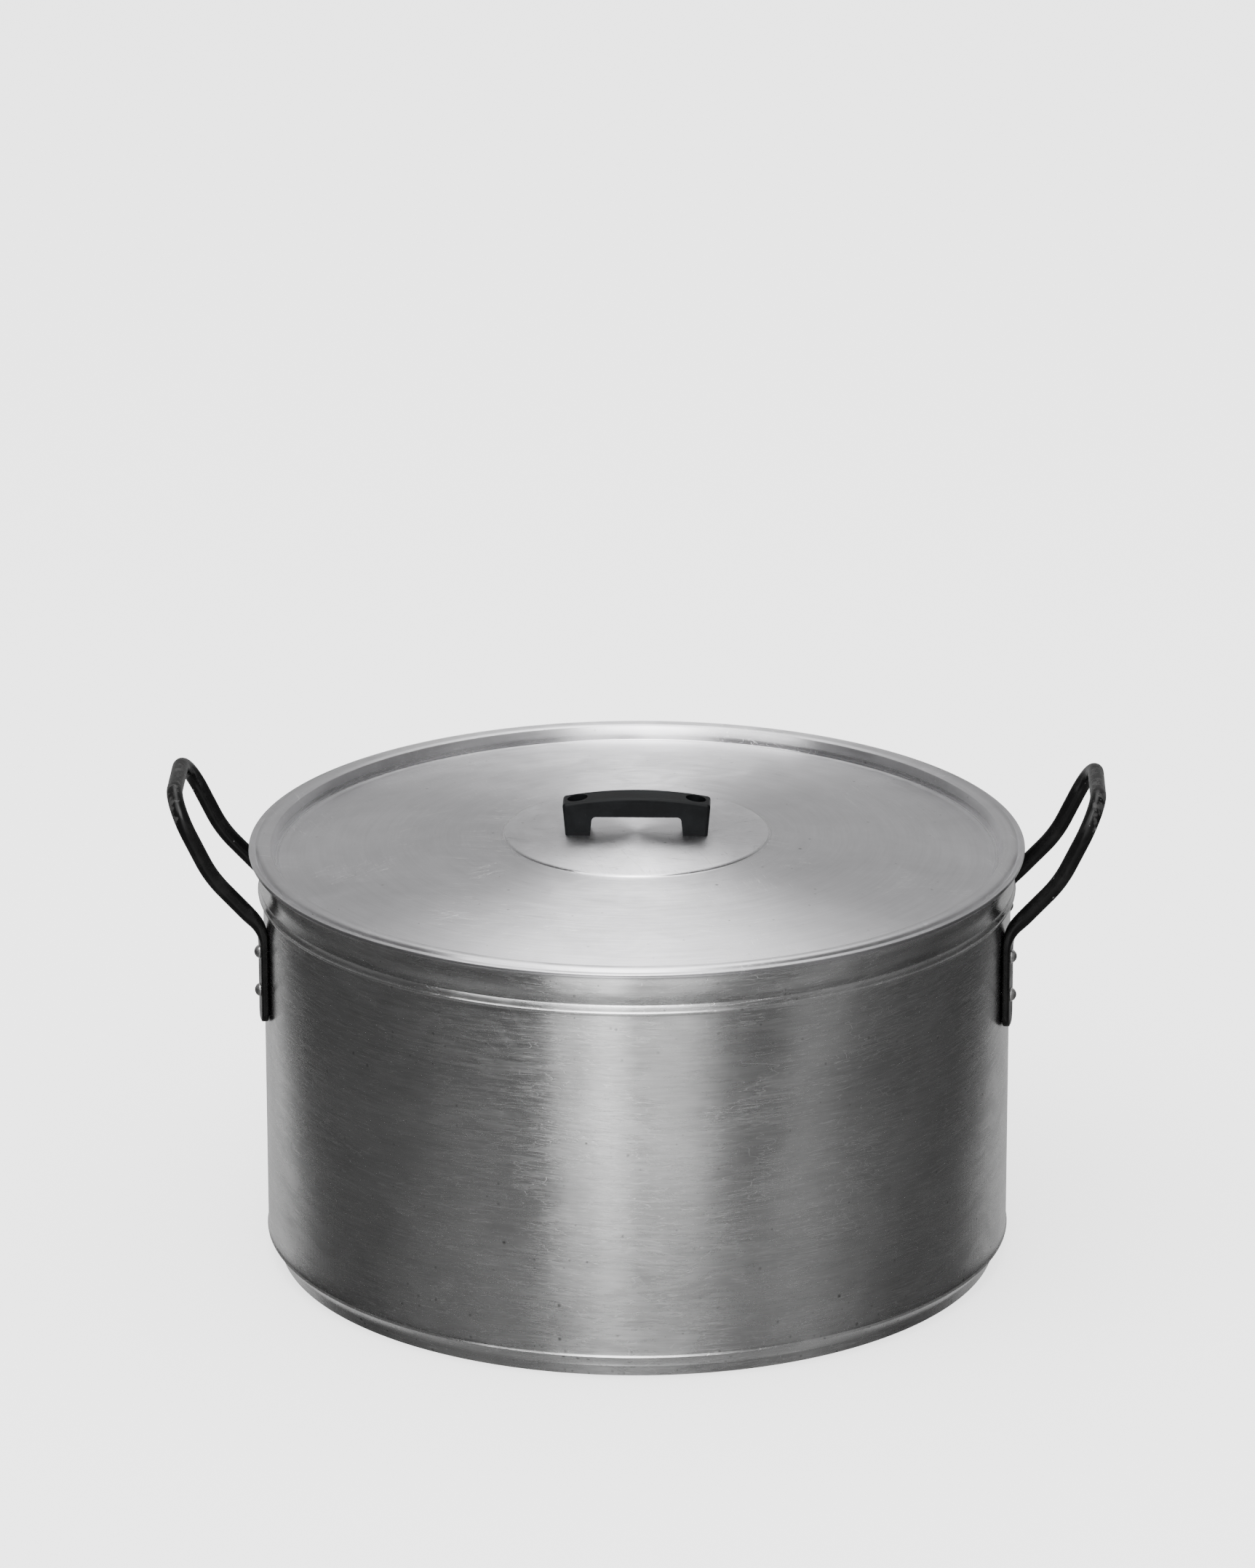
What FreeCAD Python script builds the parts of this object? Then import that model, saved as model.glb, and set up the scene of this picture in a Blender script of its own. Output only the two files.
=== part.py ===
"""Catering boiling pot with a loose lid: pot, riveted side handles and a lid with a bridge handle.

The frame stands on the pot's base: origin at the centre of its underside, +Z up,
+X through the right side handle. Lengths are millimetres and angles are degrees.
"""

import FreeCAD, Part
import math
import os
import re

import Sketcher
from FreeCAD import Placement, Rotation, Vector

DIMENSIONS = [
    # the pot
    ("wall_radius", 250.0),         # outside of the drawn wall
    ("wall_gauge", 3.5),
    ("base_gauge", 4.5),
    ("base_corner", 15.0),          # outside radius from base to wall
    ("bead_height", 253.0),         # where the wall steps out to the rim band
    ("rim_radius", 252.5),          # outside of the rim band
    ("bead_rise", 2.5),
    ("rim_height", 282.7),
    ("rim_round", 1.9),
    # the side handles
    ("bar_diameter", 10.8),
    ("leg_spacing", 99.0),
    ("pad_width", 19.0),
    ("pad_thickness", 5.0),
    ("pad_round", 1.4),
    ("pad_bottom", 173.0),
    ("pad_top", 229.0),
    ("grip_corner", 20.0),          # bend radius from a leg into the grip
    ("grip_reach", 306.5),          # grip centreline from the pot's axis
    ("grip_height", 326.5),
    ("knee_reach", 281.5),          # where each leg turns up
    ("knee_height", 274.5),
    ("knee_bend", 22.0),
    # the rivets
    ("rivet_low", 195.5),
    ("rivet_pitch", 27.0),
    ("rivet_diameter", 5.0),
    ("rivet_head_diameter", 9.4),
    ("rivet_head_rise", 3.4),
    ("rivet_tail_diameter", 10.0),
    ("rivet_tail_rise", 2.0),
    ("hole_play", 0.1),             # on the diameter of a riveted hole
    # the lid
    ("lid_gauge", 2.0),
    ("lid_top", 285.0),             # upper face of the seating flange
    ("lid_radius", 258.8),
    ("lid_droop", 1.8),             # how far the flange's edge turns down
    ("flange_inner", 244.4),
    ("recess_depth", 9.5),
    ("recess_foot", 240.8),
    ("disc_radius", 88.0),
    ("disc_top", 291.5),
    ("disc_step", 1.6),
    ("dome_radius", 900.0),
    ("lid_turn", 0.0),              # the lid's turn on the pot, at rest
    # the lid handle and its fasteners
    ("handle_length", 99.0),
    ("handle_taper", 2.0),          # each end leans in by this much at its foot
    ("handle_depth", 20.5),
    ("handle_end_rise", 21.5),
    ("handle_mid_rise", 26.2),
    ("handle_foot", 16.5),
    ("handle_gap", 13.0),
    ("handle_round", 2.4),
    ("screw_spacing", 79.0),
    ("counterbore_diameter", 13.6),
    ("counterbore_floor", 9.0),
    ("screw_diameter", 6.0),
    ("screw_head_diameter", 12.0),
    ("screw_head_rise", 3.6),
    ("screw_slot", 1.6),
    ("screw_tail", 11.0),           # thread end below the disc's upper face
    ("screw_hole", 6.6),
    ("washer_diameter", 16.0),
    ("washer_gauge", 1.5),
    ("nut_width", 10.0),
    ("nut_gauge", 5.0),
]

PAD_OVAL = 5.0     # exponent of the flattened pad's rounded-rectangle section
SECTION_POINTS = 24
BAR_LAP = 2.5      # the flattened end runs this far into the round bar
BAR_NECK = 0.3     # and is this much narrower there
PAD_NECK = 0.6     # and this much thinner and narrower than the pad inside the pad
TOUCH = 0.1        # keeps a flat rivet face off the curved wall beside it

doc = FreeCAD.newDocument("boiling_pot")
sheet = doc.addObject("Spreadsheet::Sheet", "Sheet")
for row, (alias, value) in enumerate(DIMENSIONS, start=1):
    sheet.set("A%d" % row, alias)
    sheet.set("B%d" % row, str(value))
    sheet.setAlias("B%d" % row, alias)
doc.recompute()

NODES = []


def size(alias):
    """One driving dimension as a number."""
    return float(getattr(sheet, alias))


def bound(text):
    """An expression in which each driving dimension is read from the sheet."""
    return re.sub(r"[a-z]+(?:_[a-z]+)+", r"Sheet.\g<0>", text)


def number(text):
    """The present value of an expression over the driving dimensions."""
    value = sheet.evalExpression(bound(text).replace("Sheet.", ""))
    return float(getattr(value, "Value", value))


def keep(item, label):
    """Take an object as the finished sub-part of this name."""
    item.Label = label
    NODES.append(item)
    return item


def origin_feature(body, role):
    return [part for part in body.Origin.OriginFeatures if part.Role == role][0]


def new_sketch(body, name, plane):
    sketch = body.newObject("Sketcher::SketchObject", name)
    sketch.AttachmentSupport = [(origin_feature(body, plane), "")]
    sketch.MapMode = "FlatFace"
    return sketch


def bind(sketch, constraint, label, text):
    """Add a dimension to a sketch and tie it to the sheet."""
    index = sketch.addConstraint(constraint)
    sketch.renameConstraint(index, label)
    sketch.setExpression("Constraints." + label, bound(text))


def arc_between(start, end, radius, turn):
    """A circular edge from start to end that curves left (turn 1) or right (turn -1)."""
    chord = end - start
    middle = (start + end) * 0.5
    inward = Vector(-chord.y, chord.x, 0).normalize() * turn
    offset = math.sqrt(max(radius ** 2 - (chord.Length / 2) ** 2, 0.0))
    centre = middle + inward * offset
    first, last = (start, end) if turn > 0 else (end, start)
    angles = [math.atan2(p.y - centre.y, p.x - centre.x) for p in (first, last)]
    circle = Part.Circle(centre, Vector(0, 0, 1), radius)
    return Part.ArcOfCircle(circle, angles[0], angles[1])


def outline(sketch, corners, prefix="v"):
    """Draw a closed outline.

    Each corner is (x, y) or (x, y, radius, turn), all as sheet expressions but the
    turn. With a radius, the edge that leaves the corner is an arc.
    """
    spots = [Vector(number(corner[0]), number(corner[1]), 0) for corner in corners]
    first = sketch.GeometryCount
    ends = []
    for i, corner in enumerate(corners):
        start, end = spots[i], spots[(i + 1) % len(spots)]
        if len(corner) == 2:
            sketch.addGeometry(Part.LineSegment(start, end), False)
            ends.append((1, 2))
        else:
            sketch.addGeometry(arc_between(start, end, number(corner[2]), corner[3]), False)
            ends.append((1, 2) if corner[3] > 0 else (2, 1))
    for i, corner in enumerate(corners):
        after = (i + 1) % len(corners)
        sketch.addConstraint(Sketcher.Constraint(
            "Coincident", first + i, ends[i][1], first + after, ends[after][0]))
        place_corner(sketch, first + i, ends[i][0], corner, spots[i], prefix + str(i))
        if len(corner) > 2:
            radius = Sketcher.Constraint("Radius", first + i, number(corner[2]))
            bind(sketch, radius, "%s%dr" % (prefix, i), corner[2])


def place_corner(sketch, edge, end, corner, spot, label):
    """Hold one corner of an outline at its distances from the sketch's origin."""
    for direction, axis, text, value in (("DistanceX", -2, corner[0], spot.x),
                                         ("DistanceY", -1, corner[1], spot.y)):
        if text == "0":
            sketch.addConstraint(Sketcher.Constraint("PointOnObject", edge, end, axis))
        else:
            bind(sketch, Sketcher.Constraint(direction, -1, 1, edge, end, value),
                 label + direction[-1].lower(), text)


def revolve(body, sketch, axis, name):
    turned = body.newObject("PartDesign::Revolution", name)
    turned.Profile = sketch
    turned.ReferenceAxis = (sketch, [axis])
    turned.Angle = 360
    doc.recompute()
    return turned


def pair_along(body, features, role, spacing):
    """Repeat features once along one of the body's own axes."""
    pattern = body.newObject("PartDesign::LinearPattern", body.Name + "_pair")
    pattern.Originals = features
    pattern.Direction = (origin_feature(body, role), [""])
    pattern.setExpression("Length", bound(spacing))
    pattern.Occurrences = 2
    body.Tip = pattern
    doc.recompute()
    return pattern


def new_body(name):
    body = doc.addObject("PartDesign::Body", name)
    body.AllowCompound = True
    return body


def on_lid(item, along="0", up="disc_top"):
    """Stand an object on the lid's disc, turned with the lid."""
    item.setExpression("Placement.Base.x", bound("(%s) * cos(lid_turn)" % along))
    item.setExpression("Placement.Base.y", bound("(%s) * sin(lid_turn)" % along))
    item.setExpression("Placement.Base.z", bound(up))
    item.Placement.Rotation = Rotation(Vector(0, 0, 1), 0)
    item.setExpression("Placement.Rotation.Angle", bound("lid_turn"))


def pad_azimuth():
    """Angle from a side handle's centre plane to each of its pads."""
    return math.degrees(math.asin(size("leg_spacing") / 2 / size("wall_radius")))


def radial_holes(radius, near, far):
    """Cylinders along the rivets' axes, between two distances from the pot's axis."""
    holes = []
    for side in (0, 180):
        for leg in (-1, 1):
            for level in (0, 1):
                turn = Rotation(Vector(0, 0, 1), side + leg * pad_azimuth())
                height = size("rivet_low") + level * size("rivet_pitch")
                outward = turn.multVec(Vector(1, 0, 0))
                foot = outward * near + Vector(0, 0, height)
                holes.append(Part.makeCylinder(radius, far - near, foot, outward))
    return holes


def make_pot():
    """The drawn pot: base, rounded corner, wall, bead and rim band, pierced for rivets."""
    body = new_body("pot_drawn")
    sketch = new_sketch(body, "pot_profile", "XZ_Plane")
    inner = "wall_radius - wall_gauge"
    outline(sketch, [
        ("0", "0"),
        ("wall_radius - base_corner", "0", "base_corner", 1),
        ("wall_radius", "base_corner"),
        ("wall_radius", "bead_height"),
        ("rim_radius", "bead_height + bead_rise"),
        ("rim_radius", "rim_height - 1.2", "rim_round", 1),
        ("rim_radius - wall_gauge", "rim_height - 1.2"),
        ("rim_radius - wall_gauge", "bead_height + bead_rise"),
        (inner, "bead_height"),
        (inner, "base_corner", "base_corner - wall_gauge", -1),
        ("wall_radius - base_corner", "wall_gauge"),
        ("wall_radius - base_corner - 4", "base_gauge"),
        ("0", "base_gauge"),
    ])
    revolve(body, sketch, "V_Axis", "pot_turned")
    near = size("wall_radius") - size("wall_gauge") - 5
    radius = (size("rivet_diameter") + size("hole_play")) / 2
    holes = doc.addObject("Part::Feature", "rivet_holes")
    holes.Shape = Part.makeCompound(radial_holes(radius, near, near + 12))
    pierced = doc.addObject("Part::Cut", "pot_pierced")
    pierced.Base = body
    pierced.Tool = holes
    keep(pierced, "pot_body")


def oval(centre, across, along, depth, width, power):
    """A closed smooth section: a rounded rectangle, or a circle when power is 2."""
    points = []
    for step in range(SECTION_POINTS):
        angle = 2 * math.pi * step / SECTION_POINTS
        x, y = math.cos(angle), math.sin(angle)
        stretch = (abs(x) ** power + abs(y) ** power) ** (-1.0 / power)
        points.append(centre + across * (depth / 2 * x * stretch) + along * (width / 2 * y * stretch))
    curve = Part.BSplineCurve()
    curve.interpolate(points, PeriodicFlag=True)
    return Part.Wire(curve.toShape())


def fillet_corner(before, corner, after, radius):
    """The arc that rounds a corner of a path, with its two tangent points."""
    back = (before - corner).normalize()
    onward = (after - corner).normalize()
    half = math.acos(back.dot(onward)) / 2
    reach = radius / math.tan(half)
    start, end = corner + back * reach, corner + onward * reach
    middle = corner + (back + onward).normalize() * (radius / math.sin(half) - radius)
    return start, Part.Arc(start, middle, end).toShape(), end


def rounded_path(points, radii):
    """A wire of straight runs joined by tangent arcs."""
    edges = []
    last = points[0]
    for i, radius in enumerate(radii, start=1):
        start, arc, end = fillet_corner(points[i - 1], points[i], points[i + 1], radius)
        edges += [Part.LineSegment(last, start).toShape(), arc]
        last = end
    edges.append(Part.LineSegment(last, points[-1]).toShape())
    return Part.Wire(edges)


def outward_solid(shape):
    """The same solid with its faces turned outwards."""
    if shape.Volume < 0:
        shape.reverse()
    return shape


def pad_plate(outward):
    """The flat riveted pad: straight sides, round lower end, eased outer edges."""
    side = Vector(0, 0, 1).cross(outward)
    half = side * (size("pad_width") / 2)
    inner = outward * (size("wall_radius") + TOUCH)
    low = inner + Vector(0, 0, size("pad_bottom") + size("pad_width") / 2)
    high = inner + Vector(0, 0, size("pad_top"))
    tip = inner + Vector(0, 0, size("pad_bottom"))
    rim = Part.Wire([
        Part.LineSegment(high - half, low - half).toShape(),
        Part.Arc(low - half, tip, low + half).toShape(),
        Part.LineSegment(low + half, high + half).toShape(),
        Part.LineSegment(high + half, high - half).toShape(),
    ])
    plate = outward_solid(Part.Face(rim).extrude(outward * size("pad_thickness")))
    face = size("wall_radius") + TOUCH + size("pad_thickness")
    outer = [edge for edge in plate.Edges
             if abs(edge.CenterOfMass.dot(outward) - face) < 0.01
             and edge.CenterOfMass.z < size("pad_top") - 1]
    return plate.makeFillet(size("pad_round"), outer)


def leg_foot(leg):
    """The flattened pad on the wall and its change of section into the round bar.

    Returns the two solids, then the point and direction in which the round bar leaves.
    """
    outward = Rotation(Vector(0, 0, 1), leg * pad_azimuth()).multVec(Vector(1, 0, 0))
    thick, width, bar = size("pad_thickness"), size("pad_width"), size("bar_diameter")
    pad_centre = outward * (size("wall_radius") + TOUCH + thick / 2)
    across_leg = leg * size("leg_spacing") / 2
    top = size("pad_top")
    start = Vector(size("wall_radius") + 9.0, across_leg, top + 21.5)
    knee = Vector(size("knee_reach"), across_leg, size("knee_height"))
    climb = (knee - start).normalize()

    def section(rise, share, depth, breadth, power):
        """A section at a height above the pad, part way (share) from pad to bar."""
        lean = (Vector(0, 0, 1) * (1 - share) + climb * share).normalize()
        facing = outward * (1 - share) + Vector(1, 0, 0) * share
        side = lean.cross(facing).normalize()
        spot = pad_centre * (1 - share) + Vector(start.x, start.y, 0) * share
        centre = Vector(spot.x - share * 0.8, spot.y, top + rise)
        return oval(centre, side.cross(lean).normalize(), side, depth, breadth, power)

    end = start + climb * BAR_LAP
    neck = bar - BAR_NECK
    blend = Part.makeLoft([
        section(-6, 0.0, thick - PAD_NECK, width - PAD_NECK, PAD_OVAL),
        section(1, 0.02, thick - PAD_NECK, width - PAD_NECK, PAD_OVAL),
        section(9, 0.28, thick * 1.2, width * 0.86, 3.2),
        section(16, 0.62, bar * 0.88, width * 0.66, 2.4),
        oval(end, Vector(0, 1, 0).cross(climb).normalize(), Vector(0, 1, 0), neck, neck, 2.0),
    ], True, False)
    return [outward_solid(blend), pad_plate(outward)], start, climb


def make_side_handle(name, turn):
    """A bent round bar whose flattened ends are riveted to the wall."""
    half = size("leg_spacing") / 2
    feet = [leg_foot(leg) for leg in (-1, 1)]
    knees = [Vector(size("knee_reach"), leg * half, size("knee_height")) for leg in (-1, 1)]
    tops = [Vector(size("grip_reach"), leg * half, size("grip_height")) for leg in (-1, 1)]
    points = [feet[0][1], knees[0], tops[0], tops[1], knees[1], feet[1][1]]
    bend, corner = size("knee_bend"), size("grip_corner")
    path = rounded_path(points, [bend, corner, corner, bend])
    ring = Part.Wire(Part.makeCircle(size("bar_diameter") / 2, points[0], feet[0][2]))
    bar = Part.BRepOffsetAPI.MakePipeShell(path)
    bar.setFrenetMode(True)
    bar.add(ring)
    bar.build()
    bar.makeSolid()
    shape = outward_solid(bar.shape()).fuse(feet[0][0] + feet[1][0])
    near = size("wall_radius") - 5
    radius = (size("rivet_diameter") + size("hole_play")) / 2
    shape = shape.cut(radial_holes(radius, near, near + 20)).removeSplitter()
    handle = doc.addObject("Part::Feature", name)
    handle.Shape = shape
    handle.Placement = Placement(Vector(0, 0, 0), Rotation(Vector(0, 0, 1), turn))
    keep(handle, name)


def make_rivets(name, turn):
    """Two rivets, one above the other: domed head outside, low head inside the wall."""
    body = new_body(name + "_body")
    sketch = new_sketch(body, name + "_profile", "XZ_Plane")
    skin = "wall_radius + pad_thickness + %s" % (2 * TOUCH)
    inside = "wall_radius - wall_gauge - %s" % TOUCH
    low = "rivet_low"
    # the dome's radius from its rise and half width
    dome = "(rivet_head_rise ^ 2 + rivet_head_diameter ^ 2 / 4) / 2 / rivet_head_rise"
    outline(sketch, [
        (inside + " - rivet_tail_rise", "0"),
        (inside + " - rivet_tail_rise", "rivet_tail_diameter / 2 - 1"),
        (inside + " - 1", "rivet_tail_diameter / 2"),
        (inside, "rivet_tail_diameter / 2"),
        (inside, "rivet_diameter / 2"),
        (skin, "rivet_diameter / 2"),
        (skin, "rivet_head_diameter / 2", dome, -1),
        (skin + " + rivet_head_rise", "0"),
    ])
    turned = revolve(body, sketch, "H_Axis", name + "_turned")
    pair_along(body, [turned], "Z_Axis", "rivet_pitch")
    body.setExpression("Placement.Base.z", bound(low))
    body.Placement.Rotation = Rotation(Vector(0, 0, 1), turn)
    keep(body, name)


def make_lid_shell():
    """The pressed lid: drooping flange, recess wall, domed panel and raised centre disc."""
    body = new_body("lid_pressed")
    sketch = new_sketch(body, "lid_profile", "XZ_Plane")
    floor = "lid_top - recess_depth"
    rise = "disc_top - disc_step"
    outline(sketch, [
        ("0", "disc_top"),
        ("0", "disc_top - lid_gauge"),
        ("disc_radius - lid_gauge", "disc_top - lid_gauge"),
        ("disc_radius - 1", rise + " - lid_gauge", "dome_radius", -1),
        ("recess_foot - 2", floor + " - lid_gauge", "lid_gauge + 1.6", 1),
        ("recess_foot + lid_gauge", floor + " + 1"),
        ("flange_inner + lid_gauge", "lid_top - lid_gauge"),
        ("lid_radius - 8", "lid_top - lid_gauge", "lid_radius / 13", -1),
        ("lid_radius - 0.6", "lid_top - lid_gauge - lid_droop"),
        ("lid_radius", "lid_top - lid_droop", "lid_radius / 12", 1),
        ("lid_radius - 7.4", "lid_top"),
        ("flange_inner + 1.4", "lid_top", "1.5", 1),
        ("flange_inner", "lid_top - 1.2"),
        ("recess_foot", floor + " + 1.4", "1.5", -1),
        ("recess_foot - 1.2", floor, "dome_radius", 1),
        ("disc_radius + 1.6", rise),
        ("disc_radius", "disc_top"),
    ])
    turned = revolve(body, sketch, "V_Axis", "lid_turned")
    body.Tip = turned
    pierce = [doc.addObject("Part::Cylinder", "lid_hole_%d" % i) for i in (1, 2)]
    for sign, hole in zip(("-", ""), pierce):
        hole.setExpression("Radius", bound("screw_hole / 2"))
        hole.setExpression("Height", bound("lid_gauge * 3"))
        on_lid(hole, sign + "screw_spacing / 2", "disc_top - lid_gauge * 2")
    holes = doc.addObject("Part::MultiFuse", "lid_holes")
    holes.Shapes = pierce
    pierced = doc.addObject("Part::Cut", "lid_pierced")
    pierced.Base = body
    pierced.Tool = holes
    keep(pierced, "lid_shell")


def make_lid_handle():
    """The moulded bridge handle with a counterbored foot at each end."""
    body = new_body("bridge")
    sketch = new_sketch(body, "bridge_profile", "XZ_Plane")
    end = "handle_length / 2"
    foot_out = "handle_length / 2 - handle_taper"
    foot_in = "handle_length / 2 - handle_taper - handle_foot"
    climb = "handle_mid_rise - handle_end_rise"
    crown = "((handle_length / 2) ^ 2 + (%s) ^ 2) / 2 / (%s)" % (climb, climb)
    outline(sketch, [
        ("-(%s)" % foot_out, "0"),
        ("-(%s)" % foot_in, "0"),
        ("-(%s) + 1" % foot_in, "handle_gap - 3", "3", -1),
        ("-(%s) + 4" % foot_in, "handle_gap"),
        ("%s - 4" % foot_in, "handle_gap", "3", -1),
        ("%s - 1" % foot_in, "handle_gap - 3"),
        (foot_in, "0"),
        (foot_out, "0"),
        (end, "handle_end_rise", crown, 1),
        ("-(%s)" % end, "handle_end_rise"),
    ])
    block = body.newObject("PartDesign::Pad", "bridge_block")
    block.Profile = sketch
    block.setExpression("Length", bound("handle_depth"))
    block.Midplane = True
    doc.recompute()
    rounded = round_edges(body, block)
    counter = round_pockets(body, "bridge_counterbores", "counterbore_diameter", "counterbore_floor")
    through = round_pockets(body, "bridge_screw_holes", "screw_hole", "0")
    body.Tip = through
    doc.recompute()
    volumes = [step.Shape.Volume for step in (rounded, counter, through)]
    assert volumes[0] > volumes[1] > volumes[2], "a pocket of the lid handle cut nothing"
    on_lid(body)
    keep(body, "lid_handle")


def round_edges(body, block):
    """Round the moulding's outer edges: all along the top and down the ends."""
    half = size("handle_length") / 2
    low = size("handle_end_rise")
    chosen = []
    for index, edge in enumerate(block.Shape.Edges, start=1):
        spot = edge.CenterOfMass
        on_top = spot.z > low - 0.5
        on_end = abs(spot.x) > half - size("handle_taper") and spot.z > 5
        if on_top or on_end:
            chosen.append("Edge%d" % index)
    rounded = body.newObject("PartDesign::Fillet", "bridge_rounding")
    rounded.Base = (block, chosen)
    rounded.setExpression("Radius", bound("handle_round"))
    doc.recompute()
    return rounded


def round_pockets(body, name, diameter, floor):
    """A vertical round pocket in each foot, from above down to a floor."""
    sketch = new_sketch(body, name + "_circles", "XY_Plane")
    sketch.setExpression("AttachmentOffset.Base.z", bound(floor))
    for sign in (-1, 1):
        centre = Vector(sign * size("screw_spacing") / 2, 0, 0)
        index = sketch.addGeometry(Part.Circle(centre, Vector(0, 0, 1), size(diameter) / 2), False)
        label = "left" if sign < 0 else "right"
        bind(sketch, Sketcher.Constraint("Diameter", index, size(diameter)), label + "_bore", diameter)
        sketch.addConstraint(Sketcher.Constraint("PointOnObject", index, 3, -1))
        bind(sketch, Sketcher.Constraint("DistanceX", -1, 1, index, 3, centre.x), label + "_place",
             ("-" if sign < 0 else "") + "screw_spacing / 2")
    pocket = body.newObject("PartDesign::Pocket", name)
    pocket.Profile = sketch
    pocket.setExpression("Length", bound("handle_mid_rise + 5"))
    pocket.Reversed = True
    doc.recompute()
    return pocket


def make_screws():
    """Two pan-head screws, slotted, down through the handle's feet and the lid."""
    body = new_body("screws")
    sketch = new_sketch(body, "screw_profile", "XZ_Plane")
    head = "screw_head_diameter / 2"
    outline(sketch, [
        ("0", "-screw_tail"),
        ("screw_diameter / 2 - 0.8", "-screw_tail"),
        ("screw_diameter / 2", "-screw_tail + 0.8"),
        ("screw_diameter / 2", "counterbore_floor"),
        (head, "counterbore_floor"),
        (head, "counterbore_floor + 1.6", "screw_head_rise", 1),
        (head + " - 2.2", "counterbore_floor + screw_head_rise"),
        ("0", "counterbore_floor + screw_head_rise"),
    ])
    turned = revolve(body, sketch, "V_Axis", "screw_turned")
    slot_sketch = new_sketch(body, "slot_outline", "XY_Plane")
    slot_sketch.setExpression("AttachmentOffset.Base.z",
                              bound("counterbore_floor + screw_head_rise - 1.5"))
    outline(slot_sketch, [
        ("-screw_head_diameter", "-screw_slot / 2"),
        ("screw_head_diameter", "-screw_slot / 2"),
        ("screw_head_diameter", "screw_slot / 2"),
        ("-screw_head_diameter", "screw_slot / 2"),
    ])
    slot = body.newObject("PartDesign::Pocket", "screw_slot_cut")
    slot.Profile = slot_sketch
    slot.Length = 5
    slot.Reversed = True
    doc.recompute()
    assert slot.Shape.Volume < turned.Shape.Volume, "the screw slot cut nothing"
    pair_along(body, [turned, slot], "X_Axis", "screw_spacing")
    on_lid(body, "-screw_spacing / 2")
    keep(body, "lid_handle_screws")


def make_washers():
    """Two plain washers against the underside of the lid."""
    body = new_body("washers")
    sketch = new_sketch(body, "washer_profile", "XZ_Plane")
    under = "-lid_gauge"
    outline(sketch, [
        ("screw_hole / 2", under),
        ("screw_hole / 2", under + " - washer_gauge"),
        ("washer_diameter / 2", under + " - washer_gauge"),
        ("washer_diameter / 2", under),
    ])
    turned = revolve(body, sketch, "V_Axis", "washer_turned")
    pair_along(body, [turned], "X_Axis", "screw_spacing")
    on_lid(body, "-screw_spacing / 2")
    keep(body, "lid_washers")


def make_nuts():
    """Two hexagon nuts on the screws, below the washers."""
    body = new_body("nuts")
    sketch = new_sketch(body, "nut_outline", "XY_Plane")
    sketch.setExpression("AttachmentOffset.Base.z",
                         bound("-lid_gauge - washer_gauge - nut_gauge"))
    corner = "nut_width / 2 / cos(30)"
    outline(sketch, [
        (corner, "0"),
        (corner + " / 2", "nut_width / 2"),
        ("-%s / 2" % corner, "nut_width / 2"),
        ("-%s" % corner, "0"),
        ("-%s / 2" % corner, "-nut_width / 2"),
        (corner + " / 2", "-nut_width / 2"),
    ])
    bore = sketch.addGeometry(Part.Circle(Vector(0, 0, 0), Vector(0, 0, 1), 3.05), False)
    sketch.addConstraint(Sketcher.Constraint("Coincident", bore, 3, -1, 1))
    bind(sketch, Sketcher.Constraint("Diameter", bore, 6.1), "thread", "screw_diameter + hole_play")
    block = body.newObject("PartDesign::Pad", "nut_block")
    block.Profile = sketch
    block.setExpression("Length", bound("nut_gauge"))
    doc.recompute()
    pair_along(body, [block], "X_Axis", "screw_spacing")
    on_lid(body, "-screw_spacing / 2")
    keep(body, "lid_nuts")


def check_document():
    """Stop if any object failed to compute or any sub-part isn't a sound solid."""
    doc.recompute()
    for item in doc.Objects:
        wrong = [state for state in item.State if state in ("Invalid", "Error")]
        assert not wrong, "%s is %s" % (item.Name, wrong)
    for item in NODES:
        shape = item.Shape
        assert not shape.isNull() and shape.isValid(), item.Label + " is not a valid shape"
        assert shape.Solids, item.Label + " holds no solid"


def write_parts():
    os.makedirs("parts", exist_ok=True)
    for item in NODES:
        item.Shape.exportStep("parts/%s.step" % item.Label)
        box = item.Shape.BoundBox
        print("%-20s solids %d  volume %9.0f  x %7.1f %7.1f  y %7.1f %7.1f  z %6.1f %6.1f" % (
            item.Label, len(item.Shape.Solids), item.Shape.Volume,
            box.XMin, box.XMax, box.YMin, box.YMax, box.ZMin, box.ZMax))


make_pot()
make_side_handle("right_handle", 0)
make_side_handle("left_handle", 180)
for side_name, side_turn in (("right", 0), ("left", 180)):
    for leg_name, leg_sign in (("front", -1), ("rear", 1)):
        sign = leg_sign if side_name == "right" else -leg_sign
        make_rivets("%s_%s_rivets" % (side_name, leg_name), side_turn + sign * pad_azimuth())
make_lid_shell()
make_lid_handle()
make_screws()
make_washers()
make_nuts()
check_document()
write_parts()
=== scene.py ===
"""Looks of a catering boiling pot: spun aluminium, black bar handles and a plastic bridge.

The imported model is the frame. The pot, the lid and the two side handles get smoother
meshes of the same size, and every other node keeps its mesh and gets its finish.
Lengths are metres, in the frame of the part: +Z up and +X through the right handle.
"""

import functools
import logging
import math
from dataclasses import dataclass, field
from enum import Enum
from typing import Callable, Optional, Sequence

import bmesh
import bpy
from bmesh.types import BMesh
from bpy.types import Material, Node, NodeSocket as Socket, NodeTree, Object
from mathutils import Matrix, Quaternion, Vector


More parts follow.
